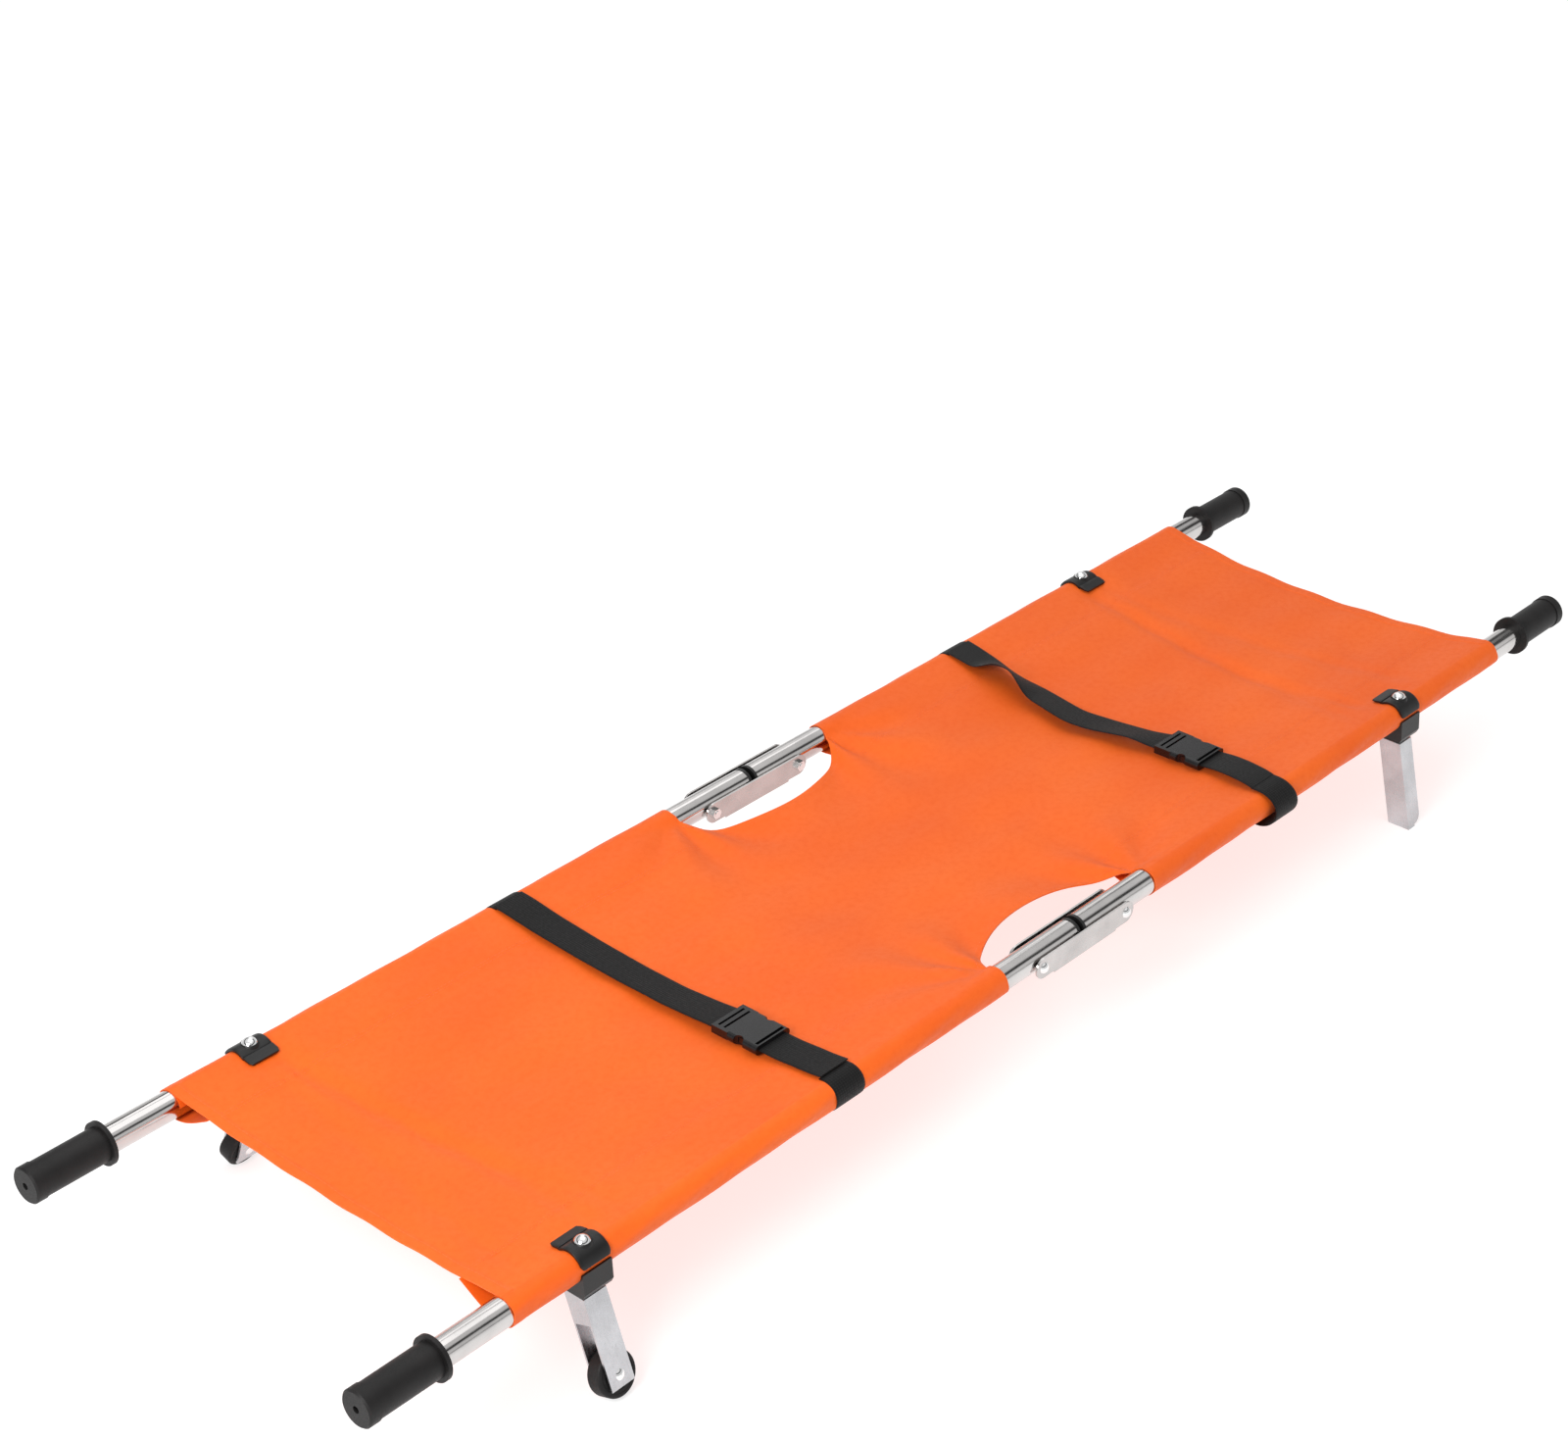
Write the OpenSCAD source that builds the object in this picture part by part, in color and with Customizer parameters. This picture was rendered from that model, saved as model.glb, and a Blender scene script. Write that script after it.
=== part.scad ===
// Folding stretcher: two hinged rails, swivelling legs with spreader rods,
// a pocketed fabric bed and two buckled patient straps.
// Row frame: X along the rails, Y across, Z up, floor at Z = 0. Millimetres.

/* [Overall] */
// Distance between the two rails, centre to centre (mm)
rail_pitch = 500; // [490:5:510]
// Height of the rail centre line above the floor (mm)
rail_z = 152; // [150:1:156]
// Folding hinge centre, measured from the middle of the length (mm)
hinge_x = 20; // [10:1:30]
// Hinge centre to the grip end, wheel half (mm)
wheel_reach = 1065; // [1050:5:1080]
// Hinge centre to the grip end, foot half (mm)
foot_reach = 1025; // [1010:5:1040]

/* [Rail tubes] */
// Tube outside radius (mm)
tube_r = 16; // [15.5:0.1:16]
// Tube wall (mm)
tube_wall = 1.6; // [1.4:0.1:2.0]
// End plug flange thickness (mm)
plug_flange = 4; // [3:0.5:4.5]
// End plug flange, radius over the tube (mm)
plug_lip = 0.5; // [0.3:0.1:0.5]
// End plug face to the hinge centre (mm)
plug_gap = 3.2; // [3.2:0.1:4]
// End plug spigot length (mm)
plug_spigot = 22; // [15:1:24]

/* [Grips] */
// Grip length over all (mm)
grip_len = 98; // [92:1:104]
// Grip body radius (mm)
grip_r = 20; // [19:0.5:21]
// Grip inner flange radius (mm)
grip_flange_r = 25; // [23:0.5:26]
// Grip inner flange thickness (mm)
grip_flange_t = 5; // [4:0.5:6]
// Swollen outer end, radius over the body (mm)
grip_swell = 1; // [0.5:0.1:1.5]
// Swollen outer end, length (mm)
grip_swell_len = 14; // [10:1:18]
// Closed end thickness (mm)
grip_cap = 3; // [2:0.5:4]
// Vent hole radius in the closed end (mm)
grip_vent_r = 4; // [3:0.5:5]

/* [Folding brackets] */
// Half the distance between the two hinge bolts (mm)
pin_half = 75; // [75:0.5:77]
// Hinge bolt radius (mm)
pin_r = 4; // [3.5:0.5:4]
// Bracket cheek thickness (mm)
cheek_t = 2.5; // [2:0.5:3]
// Gap from the tube to each cheek (mm)
cheek_gap = 2; // [1:0.5:2.5]
// Half height of the cheeks at the bolts (mm)
cheek_r = 13; // [12.5:0.25:13.5]
// Hinge bolts and cheek centres, below the rail centre line (mm)
pin_low = 4.25; // [3.5:0.25:4.25]
// Half length of the bracket's bottom web (mm)
web_half = 56; // [50:1:56]
// Hinge bolt head radius (mm)
pin_head_r = 7; // [6.5:0.5:7.5]
// Hinge bolt head height (mm)
pin_head_h = 4.5; // [4:0.5:5]

/* [Clamps] */
// Wheel clamp centre from the hinge centre (mm)
wheel_clamp = 772; // [765:1:780]
// Foot clamp centre from the hinge centre (mm)
foot_clamp = 662; // [655:1:670]
// Clamp length along the rail (mm)
clamp_len = 40; // [36:1:42]
// Saddle thickness (mm)
saddle_t = 3.8; // [3:0.2:4.2]
// Saddle wrap on the outer side, from the top (degrees)
saddle_out = 78; // [70:1:80]
// Saddle wrap on the inner side, from the top (degrees)
saddle_in = 42; // [38:1:46]
// Length of the flared inner lip (mm)
lip_len = 11; // [9:0.5:12]
// Thickness of the flared inner lip (mm)
lip_t = 3; // [2.6:0.1:3.2]
// Slope of the flared inner lip (degrees)
lip_slope = 24; // [20:1:28]
// Lower block width across the rail (mm)
block_w = 42; // [41:0.5:43]
// Lower block top edge, below the rail centre line (mm)
block_top = 1; // [1:0.5:3]
// Lower block bottom, below the rail centre line (mm)
block_bottom = 31; // [30:0.5:32]
// Clamp bolt radius (mm)
bolt_r = 4; // [3.5:0.5:4]
// Clamp bolt dome radius (mm)
dome_r = 8.5; // [8:0.5:9]
// Clamp bolt dome height (mm)
dome_h = 5; // [4:0.5:5.5]

/* [Legs] */
// Outward lean of the wheel legs (degrees)
splay = 20; // [18:0.5:20]
// Outward lean of the foot legs (degrees)
foot_splay = 12; // [10:0.5:13]
// Leg sheet thickness (mm)
leg_t = 2.5; // [2:0.5:2.5]
// Fork width along the rail (mm)
fork_x = 31; // [30:1:34]
// Fork width across the rail (mm)
fork_y = 27; // [27:0.5:28]
// Fork arm length (mm)
fork_len = 108; // [106:1:109]
// Length of the fork's web (mm)
fork_web = 34; // [30:1:36]
// Foot leg width along the rail (mm)
foot_x = 26; // [25:1:28]
// Foot leg width across the rail (mm)
foot_y = 30; // [28:1:31]
// Rounded lower corner of the foot leg (mm)
foot_round = 12; // [8:1:14]

/* [Wheels] */
// Wheel radius (mm)
wheel_r = 25; // [24:0.5:25.5]
// Wheel width (mm)
wheel_w = 19; // [18:0.5:19]
// Tread edge rounding (mm)
wheel_round = 3; // [2.5:0.5:4]
// Axle radius (mm)
axle_r = 4; // [3.5:0.5:4]

/* [Spreaders] */
// Rod radius (mm)
rod_r = 3.75; // [3.5:0.05:4]
// Rod level section, below the rail centre line (mm)
rod_drop = 78; // [76:1:79]
// Rod bend position from the rail centre line (mm)
rod_bend = 130; // [120:1:140]
// Eye thickness at the clamp bolt (mm)
eye_t = 5; // [5:0.5:5.5]
// Eye radius at the clamp bolt (mm)
eye_r = 10.5; // [10:0.5:11]
// Eye radius at the middle pivot (mm)
mid_eye_r = 9; // [8.5:0.5:9.5]
// Eye thickness at the middle pivot (mm)
mid_eye_t = 4; // [3.5:0.5:4]
// Hook reach beyond the middle pivot (mm)
hook_reach = 32; // [30:1:34]
// Hook bend radius (mm)
hook_r = 7.5; // [7:0.5:8]

/* [Fabric] */
// Fabric end from the hinge centre, wheel half (mm)
wheel_cloth = 880; // [870:1:890]
// Fabric end from the hinge centre, foot half (mm)
foot_cloth = 868; // [860:1:878]
// Pocket end from the hinge centre, beside the hand gaps (mm)
pocket_end = 134; // [130:1:138]
// Pocket cloth thickness (mm)
cloth_t = 1.3; // [1.2:0.1:1.4]
// Bed thickness (mm)
bed_t = 1.6; // [1.4:0.1:2]
// Height of the bed at the pockets above the rail centre line (mm)
bed_edge = 6; // [4:0.5:7]
// Sag of the bed at mid width (mm)
bed_sag = 14; // [14:0.5:15]
// Hand gap depth, from the rail centre line (mm)
gap_depth = 74; // [70:1:78]
// Hand gap corner radius (mm)
gap_corner = 50; // [44:1:52]

/* [Straps] */
// Strap centre from the hinge centre, wheel half (mm)
wheel_strap = 396; // [388:1:404]
// Strap centre from the hinge centre, foot half (mm)
foot_strap = 392; // [384:1:400]
// Webbing width (mm)
strap_w = 44; // [40:1:46]
// Webbing thickness (mm)
strap_t = 1.8; // [1.6:0.1:1.9]
// Sag of the straps at mid width (mm)
strap_sag = 22; // [21:0.5:23]

/* [Buckles] */
// Buckle centre, across from the middle line (mm)
buckle_y = -115; // [-120:1:-110]
// Buckle width along the rail (mm)
buckle_w = 54; // [50:1:56]
// Socket length (mm)
socket_len = 42; // [40:1:44]
// Buckle thickness (mm)
buckle_t = 12; // [11:0.5:13]
// Buckle underside, above the rail centre line (mm)
buckle_low = 7.5; // [7:0.5:10]

/* [Hidden] */
$fn = 96;
eps = 0.5;
fit = 0.05;
face_gap = 0.4;
body_gap = 0.1;
half_pitch = rail_pitch / 2;
far = 400;
// pockets, saddles and loops round the tube
sleeve_ri = tube_r + body_gap;
sleeve_ro = sleeve_ri + cloth_t;
saddle_ri = sleeve_ro + body_gap;
saddle_ro = saddle_ri + saddle_t;
boss_z = saddle_ro + 0.9;
block_flare = 1.2;
block_corner = 3;
boss_r = dome_r + 1.5;
loop_ri = sleeve_ro + body_gap;
loop_ro = loop_ri + strap_t;
// swivel stack under the clamp
eye_top = -block_bottom - face_gap;
plate_top = eye_top - eye_t;
plate_low = plate_top - leg_t;
washer_top = plate_low - face_gap;
washer_t = 1.6;
washer_r = 8.5;
nut_t = 6.5;
nut_r = 7.5;
bolt_end = washer_top - washer_t - nut_t - 2.5;
// wheel placing: the leaning tyre's lowest point is on the floor
wheel_h = (wheel_r - wheel_round) * cos(splay)
    + (wheel_w / 2 - wheel_round) * sin(splay) + wheel_round;
leg_drop = rail_z + plate_top;
wheel_along = (leg_drop - wheel_h) / cos(splay);
hub_r = 9.5;
hub_w = fork_y - 2 * leg_t - 1;
rim_in = 17;
// spreader pivot levels
mid_gap = 0.15;
left_top = -rod_drop + mid_gap + mid_eye_t;
left_low = -rod_drop + mid_gap;
right_top = -rod_drop - mid_gap;
right_low = -rod_drop - mid_gap - mid_eye_t;
rod_start = 27;
tongue_end = 30;
tongue_w = 11;
mid_tongue = 46;
mid_tongue_w = 10;
rod_start_z = eye_top - rod_r - 0.02;
rod_lean = atan((rod_start_z + rod_drop) / (rod_bend - rod_start));
lean_len = (rod_bend - rod_start) / cos(rod_lean);
knuckle_r = rod_r + 0.4;
// bed arc
arc_fn = 1800;
bed_half = half_pitch - sleeve_ro;
slit = strap_w + 2 * face_gap;
bed_arc = (bed_half * bed_half + bed_sag * bed_sag) / (2 * bed_sag);
strap_half = half_pitch - 6;
strap_top = loop_ro - 1.2;
strap_arc = (strap_half * strap_half + strap_sag * strap_sag) / (2 * strap_sag);
cut_r = (pocket_end * pocket_end + gap_depth * gap_depth) / (2 * gap_depth);

// which sub-part to draw

// ---------- placing ----------
// s: 1 for the left rail, -1 for the right rail
// h: -1 for the wheel half, 1 for the foot half
function reach(h) = h < 0 ? wheel_reach : foot_reach;
function clamp_x(h) = hinge_x + h * (h < 0 ? wheel_clamp : foot_clamp);
function strap_x(h) = hinge_x + h * (h < 0 ? wheel_strap : foot_strap);
function cloth(h) = h < 0 ? wheel_cloth : foot_cloth;

// children drawn with X pointing from the hinge to the grip, for the left rail
module on_rail(h, s) {
    translate([hinge_x, s * half_pitch, rail_z])
        mirror([h < 0 ? 1 : 0, 0, 0])
            mirror([0, s < 0 ? 1 : 0, 0])
                children();
}

// children drawn round the clamp bolt, X towards the grip, -Y to the middle
module on_clamp(h, s) {
    translate([clamp_x(h), s * half_pitch, rail_z])
        mirror([h < 0 ? 1 : 0, 0, 0])
            mirror([0, s < 0 ? 1 : 0, 0])
                children();
}

module along_x(x0, x1, r) {
    translate([x0, 0, 0])
        rotate([0, 90, 0])
            cylinder(h = x1 - x0, r = r);
}

module along_y(y0, y1, r, z = 0) {
    translate([0, y0, z])
        rotate([-90, 0, 0])
            cylinder(h = y1 - y0, r = r);
}

module block(x0, x1, y0, y1, z0, z1) {
    translate([x0, y0, z0])
        cube([x1 - x0, y1 - y0, z1 - z0]);
}

module upright(z0, z1, r) {
    translate([0, 0, z0])
        cylinder(h = z1 - z0, r = r);
}

// ---------- rails ----------
module rail_tube(h, s) {
    clamp_at = abs(clamp_x(h) - hinge_x);
    color("silver") on_rail(h, s) difference() {
        along_x(plug_gap + plug_flange, reach(h) - grip_cap, tube_r);
        along_x(plug_gap + plug_flange - eps, reach(h), tube_r - tube_wall);
        translate([pin_half, 0, 0]) along_y(-far, far, pin_r + fit, -pin_low);
        translate([clamp_at, 0, 0]) upright(-far, far, bolt_r + fit);
    }
}

module grip(h, s) {
    r1 = reach(h);
    color("dimgray") on_rail(h, s) difference() {
        union() {
            along_x(r1 - grip_len, r1 - 2, grip_r);
            along_x(r1 - grip_len, r1 - grip_len + grip_flange_t, grip_flange_r);
            along_x(r1 - grip_swell_len, r1 - 2, grip_r + grip_swell);
            translate([r1 - 2, 0, 0])
                rotate([0, 90, 0])
                    cylinder(h = 2, r1 = grip_r + grip_swell, r2 = grip_r - 1);
        }
        along_x(r1 - grip_len - eps, r1 - grip_cap, tube_r + body_gap / 2);
        along_x(r1 - grip_cap - eps, r1 + eps, grip_vent_r);
    }
}

module end_plug(h, s) {
    color("black") on_rail(h, s) difference() {
        union() {
            along_x(plug_gap, plug_gap + plug_flange, tube_r + plug_lip);
            along_x(plug_gap, plug_gap + plug_flange + plug_spigot,
                tube_r - tube_wall - body_gap);
        }
        along_x(plug_gap + plug_flange, far, tube_r - 2 * tube_wall - 1);
    }
}

// ---------- fabric pockets and bed ----------
module pocket(h, s) {
    clamp_at = abs(clamp_x(h) - hinge_x);
    color("darkorange") on_rail(h, s) difference() {
        along_x(pocket_end, cloth(h), sleeve_ro);
        along_x(pocket_end - eps, cloth(h) + eps, sleeve_ri);
        translate([clamp_at, 0, 0]) upright(-far, far, bolt_r + fit);
    }
}

module bed_band(x0, x1) {
    translate([0, 0, rail_z + bed_edge - bed_sag + bed_arc]) difference() {
        intersection() {
            along_x(x0, x1, bed_arc, $fn = arc_fn);
            block(x0, x1, -half_pitch, half_pitch, -bed_arc - eps,
                bed_sag * 2 - bed_arc);
        }
        along_x(x0 - eps, x1 + eps, bed_arc - bed_t, $fn = arc_fn);
    }
}

module bed_piece(x0, x1) {
    color("darkorange") difference() {
        bed_band(x0, x1);
        for (s = [-1, 1])
            translate([0, s * half_pitch, rail_z])
                along_x(x0 - eps, x1 + eps, sleeve_ro + face_gap);
        for (s = [-1, 1])
            for (h = [-1, 1])
                translate([strap_x(h), s * half_pitch, rail_z])
                    along_x(-slit / 2, slit / 2, loop_ro + face_gap);
        for (s = [-1, 1])
            translate([hinge_x, s * (half_pitch + cut_r - gap_depth), 0])
                upright(-far, far, cut_r);
        for (s = [-1, 1])
            for (k = [-1, 1])
                translate([hinge_x + k * (pocket_end - gap_corner), s * half_pitch, 0])
                    upright(-far, far, gap_corner);
    }
}

module bed_wheel() {
    bed_piece(hinge_x - wheel_cloth, hinge_x - pin_half - face_gap);
}

module bed_middle() {
    bed_piece(hinge_x - pin_half, hinge_x + pin_half);
}

module bed_foot() {
    bed_piece(hinge_x + pin_half + face_gap, hinge_x + foot_cloth);
}

// ---------- clamps ----------
module ring_sector(ri, ro, a0, a1, len) {
    // a0..a1 measured from straight up, towards +Y, axis along X
    rotate([0, 90, 0])
        rotate([0, 0, 180 - a1])
            translate([0, 0, -len / 2])
                rotate_extrude(angle = a1 - a0)
                    translate([ri, 0])
                        square([ro - ri, len]);
}

module saddle(h, s) {
    mid_r = (saddle_ri + saddle_ro) / 2;
    color("black") on_clamp(h, s) difference() {
        union() {
            ring_sector(saddle_ri, saddle_ro, -saddle_in, saddle_out, clamp_len);
            translate([0, -mid_r * sin(saddle_in - 4), mid_r * cos(saddle_in - 4)])
                rotate([lip_slope, 0, 0])
                    block(-clamp_len / 2 + 1, clamp_len / 2 - 1, -lip_len, 0,
                        -lip_t / 2, lip_t / 2);
            upright(saddle_ri + 0.3, boss_z, boss_r);
        }
        upright(0, far, bolt_r + fit);
    }
}

module clamp_block(h, s) {
    top = block_w / 2 - block_flare;
    low = block_w / 2;
    color("black") on_clamp(h, s) difference() {
        translate([-clamp_len / 2, 0, 0])
            rotate([90, 0, 90])
                linear_extrude(height = clamp_len)
                    polygon([
                        [-top, -block_top],
                        [-low, block_corner * 2 - block_bottom],
                        [block_corner - low, -block_bottom],
                        [low - block_corner, -block_bottom],
                        [low, block_corner * 2 - block_bottom],
                        [top, -block_top]
                    ]);
        along_x(-clamp_len, clamp_len, saddle_ri);
        upright(-far, 0, bolt_r + fit);
    }
}

module clamp_bolt(h, s) {
    dome_ball = (dome_r * dome_r + dome_h * dome_h) / (2 * dome_h);
    color("gainsboro") on_clamp(h, s) {
        union() {
            upright(bolt_end, boss_z + 1, bolt_r);
            intersection() {
                translate([0, 0, boss_z + dome_h - dome_ball]) sphere(dome_ball);
                upright(boss_z, boss_z + dome_h, dome_r + 1);
            }
        }
        difference() {
            upright(washer_top - washer_t, washer_top, washer_r);
            upright(-far, 0, bolt_r + fit / 2);
        }
        difference() {
            translate([0, 0, washer_top - washer_t - nut_t])
                cylinder(h = nut_t, r = nut_r, $fn = 6);
            upright(-far, 0, bolt_r + fit / 2);
        }
    }
}

// ---------- legs ----------
// bore: radius of the swivel hole
module leg_fork(h, s, bore) {
    color("lightgray") on_clamp(h, s) difference() {
        union() {
            block(eps - fork_x / 2, (fork_x - leg_t) / 2,
                -(fork_y - leg_t) / 2, (fork_y - leg_t) / 2, plate_low, plate_top);
            intersection() {
                block(-far, far, -far, far, -rail_z, plate_top);
                translate([0, 0, plate_top]) rotate([splay, 0, 0]) difference() {
                    union() {
                        for (k = [-1, 1])
                            translate([0, k * (fork_y - leg_t) / 2, 0])
                                block(-fork_x / 2, fork_x / 2, -leg_t / 2, leg_t / 2,
                                    -fork_len, leg_t * 3);
                        block(fork_x / 2 - leg_t, fork_x / 2, -fork_y / 2, fork_y / 2,
                            -fork_web, leg_t * 3);
                    }
                    translate([0, 0, -wheel_along])
                        along_y(-far, far, axle_r + fit);
                }
            }
        }
        upright(-far, 0, bore);
    }
}

module leg_foot(h, s, bore) {
    color("lightgray") on_clamp(h, s) difference() {
        union() {
            block(-(foot_x - leg_t) / 2, foot_x / 2 - eps,
                -(foot_y - leg_t) / 2, (foot_y - leg_t) / 2, plate_low, plate_top);
            intersection() {
                block(-far, far, -far, far, -rail_z, plate_top);
                translate([0, 0, plate_top]) rotate([foot_splay, 0, 0]) difference() {
                    block(-foot_x / 2, foot_x / 2, -foot_y / 2, foot_y / 2,
                        -far, leg_t * 3);
                    block(leg_t - foot_x / 2, foot_x, leg_t - foot_y / 2,
                        foot_y / 2 - leg_t, -far - eps, leg_t * 4);
                    translate([0, 0, -leg_drop / cos(foot_splay)]) difference() {
                        block(foot_x / 2 - foot_round, foot_x, -far, far,
                            -far, foot_round);
                        translate([foot_x / 2 - foot_round, 0, foot_round])
                            along_y(-far, far, foot_round);
                    }
                }
            }
        }
        translate([0, 0, plate_low]) upright(-1, far, bore);
    }
}

// ---------- spreader rods ----------
// drawn with the clamp bolt on Z and the rod running to -Y
module rod(h, s, bore, top, low, mid_bore, hooked) {
    pivot_y = -half_pitch;
    mid_z = (top + low) / 2;
    color("gainsboro") on_clamp(h, s) difference() {
        union() {
            upright(plate_top, eye_top, eye_r);
            block(-tongue_w / 2, tongue_w / 2, -tongue_end, 0, plate_top, eye_top);
            translate([0, -rod_start, rod_start_z])
                rotate([90 + rod_lean, 0, 0])
                    upright(0, lean_len, rod_r);
            translate([0, -rod_bend, -rod_drop]) sphere(knuckle_r);
            along_y(pivot_y + mid_tongue - 2, eps - rod_bend, rod_r, -rod_drop);
            translate([0, pivot_y, 0]) upright(low, top, mid_eye_r);
            block(-mid_tongue_w / 2, mid_tongue_w / 2, pivot_y,
                pivot_y + mid_tongue, low, top);
            if (hooked) hook(pivot_y);
        }
        upright(-far, far, bore);
        translate([0, pivot_y, 0]) upright(-far, far, mid_bore);
    }
}

module hook(pivot_y) {
    t = mid_eye_t;
    y1 = pivot_y - hook_reach;
    stop_x = mid_tongue_w / 2 + 0.3 + t / 2;
    block(-t / 2, t / 2, y1, pivot_y, left_low, left_top);
    translate([hook_r, y1, left_low])
        rotate([0, 0, 180])
            rotate_extrude(angle = 180)
                translate([hook_r - t / 2, 0])
                    square([t, left_top - left_low]);
    translate([2 * hook_r, y1, 0])
        block(-t / 2, t / 2, 0, hook_r, left_low, left_top);
    translate([stop_x, pivot_y - hook_reach + hook_r, 0]) {
        upright(right_low, left_top - 0.2, t / 2);
        block(-stop_x, 0, -t / 2, t / 2, left_low, left_top);
    }
}

module pivot(h) {
    head_r = 7;
    head_t = 2.4;
    color("gainsboro") translate([clamp_x(h), 0, rail_z]) {
        upright(right_low - 0.3 - head_t, left_top + head_t, bolt_r);
        upright(left_top, left_top + head_t, head_r);
        upright(right_low - 0.3 - head_t, right_low - 0.3, head_r);
    }
}

// ---------- wheels ----------
module on_axle(s) {
    on_clamp(-1, s)
        translate([0, 0, plate_top])
            rotate([splay, 0, 0])
                translate([0, 0, -wheel_along])
                    rotate([-90, 0, 0])
                        children();
}

module wheel(s) {
    w = wheel_w / 2;
    e = wheel_round;
    color("black") on_axle(s) rotate_extrude() difference() {
        union() {
            translate([axle_r + fit, -hub_w / 2])
                square([hub_r - axle_r - fit, hub_w]);
            translate([axle_r + fit, -w / 2])
                square([rim_in - axle_r, w]);
            translate([rim_in - 1, -w])
                square([wheel_r - e - rim_in + 1, 2 * w]);
            translate([rim_in - 1, e - w])
                square([wheel_r - rim_in + 1, 2 * (w - e)]);
            for (k = [-1, 1])
                translate([wheel_r - e, k * (w - e)])
                    circle(e);
        }
        for (k = [-1, 1])
            translate([rim_in + 3, k * w])
                square([0.8, 0.8], center = true);
    }
}

module axle(s) {
    ball = 9;
    head_h = 2.2;
    color("gainsboro") on_axle(s) {
        upright(-fork_y / 2 - eps, fork_y / 2 + eps, axle_r);
        for (k = [0, 1])
            mirror([0, 0, k])
                intersection() {
                    translate([0, 0, fork_y / 2 + head_h - ball]) sphere(ball);
                    upright(fork_y / 2, fork_y, ball);
                }
    }
}

// ---------- folding brackets ----------
module bracket(s) {
    inner = tube_r + cheek_gap;
    outer = inner + cheek_t;
    web_top = -tube_r - plug_lip - face_gap;
    color("silver") translate([hinge_x, s * half_pitch, rail_z]) difference() {
        union() {
            for (k = [-1, 1])
                mirror([0, k < 0 ? 1 : 0, 0]) {
                    block(-pin_half, pin_half, inner, outer,
                        -pin_low - cheek_r, cheek_r - pin_low);
                    block(-web_half, web_half, inner, outer,
                        web_top - cheek_t, eps - pin_low - cheek_r);
                    for (p = [-1, 1])
                        translate([p * pin_half, 0, -pin_low])
                            along_y(inner, outer, cheek_r);
                }
            block(-web_half, web_half, -inner - eps, inner + eps,
                web_top - cheek_t, web_top);
        }
        for (p = [-1, 1])
            translate([p * pin_half, 0, -pin_low])
                along_y(-far, far, pin_r + fit / 2);
    }
}

module hinge_bolts(s) {
    outer = tube_r + cheek_gap + cheek_t;
    ball = (pin_head_r * pin_head_r + pin_head_h * pin_head_h) / (2 * pin_head_h);
    color("gainsboro") for (p = [-1, 1])
        translate([hinge_x + p * pin_half, s * half_pitch, rail_z - pin_low])
            mirror([0, s < 0 ? 1 : 0, 0]) {
                along_y(-outer - pin_head_h - 1, outer + 1, pin_r);
                translate([0, outer, 0]) rotate([-90, 0, 0]) intersection() {
                    translate([0, 0, pin_head_h - ball]) sphere(ball);
                    upright(0, pin_head_h, pin_head_r + 1);
                }
                translate([0, -outer - pin_head_h, 0]) rotate([-90, 0, 0])
                    cylinder(h = pin_head_h, r = pin_head_r, $fn = 6);
            }
}

// ---------- straps ----------
module loop(h, s) {
    x = strap_x(h);
    color("black") translate([0, s * half_pitch, rail_z]) difference() {
        along_x(x - strap_w / 2, x + strap_w / 2, loop_ro);
        along_x(x - strap_w, x + strap_w, loop_ri);
    }
}

module strap(h) {
    x0 = strap_x(h) - strap_w / 2;
    x1 = x0 + strap_w;
    z0 = rail_z + strap_top - strap_sag;
    color("black") difference() {
        translate([0, 0, z0 + strap_arc]) difference() {
            intersection() {
                along_x(x0, x1, strap_arc, $fn = arc_fn);
                block(x0, x1, -strap_half, strap_half, -strap_arc - eps,
                    strap_sag * 2 - strap_arc);
            }
            along_x(x0 - eps, x1 + eps, strap_arc - strap_t, $fn = arc_fn);
        }
        for (s = [-1, 1])
            translate([0, s * half_pitch, rail_z])
                along_x(x0 - eps, x1 + eps, loop_ro + face_gap);
    }
}

// ---------- buckles ----------
// drawn with the socket mouth towards +Y, at the buckle centre
module on_buckle(h) {
    translate([strap_x(h), buckle_y, rail_z + buckle_low])
        children();
}

module socket(h) {
    w = buckle_w / 2;
    l = socket_len / 2;
    wall = 2.2;
    slot = 5;
    color("black") on_buckle(h) translate([0, -l, 0]) difference() {
        union() {
            block(-w + 6, w - 6, -l, l, 0, buckle_t);
            for (k = [-1, 1])
                translate([k * (w - 6), 0, buckle_t / 2])
                    along_y(-l, l, buckle_t / 2);
        }
        block(-w + 4 + wall - 1, w - 4 - wall + 1, slot + wall - l, l + eps,
            wall, buckle_t - wall);
        block(-w + 6, w - 6, wall - l, wall + slot - l - 1, -eps, buckle_t + eps);
        for (k = [-1, 1])
            translate([k * w, l - 16, -eps])
                cylinder(h = buckle_t * 2, r = 6.5);
    }
}

module tongue(h) {
    w = buckle_w / 2;
    wall = 2.2;
    gap = 0.6;
    prong_w = 5;
    prong_len = 28;
    bar_len = 24;
    z0 = wall + gap;
    z1 = buckle_t - wall - gap;
    side_x = w - 4 - wall + 1 - gap - prong_w;
    color("black") on_buckle(h) {
        difference() {
            block(-w + 2, w - 2, gap, bar_len, 1, buckle_t - 1);
            block(-w + 7, w - 7, bar_len / 2 - 4, bar_len / 2 - 1, -eps, buckle_t);
            block(-w + 7, w - 7, bar_len / 2 + 4, bar_len / 2 + 7, -eps, buckle_t);
        }
        for (k = [-1, 1])
            block(k > 0 ? side_x : -side_x - prong_w,
                k > 0 ? side_x + prong_w : -side_x,
                -prong_len, gap + 1, z0, z1);
        block(-3, 3, -prong_len + 8, gap + 1, z0, z1);
    }
}

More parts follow.
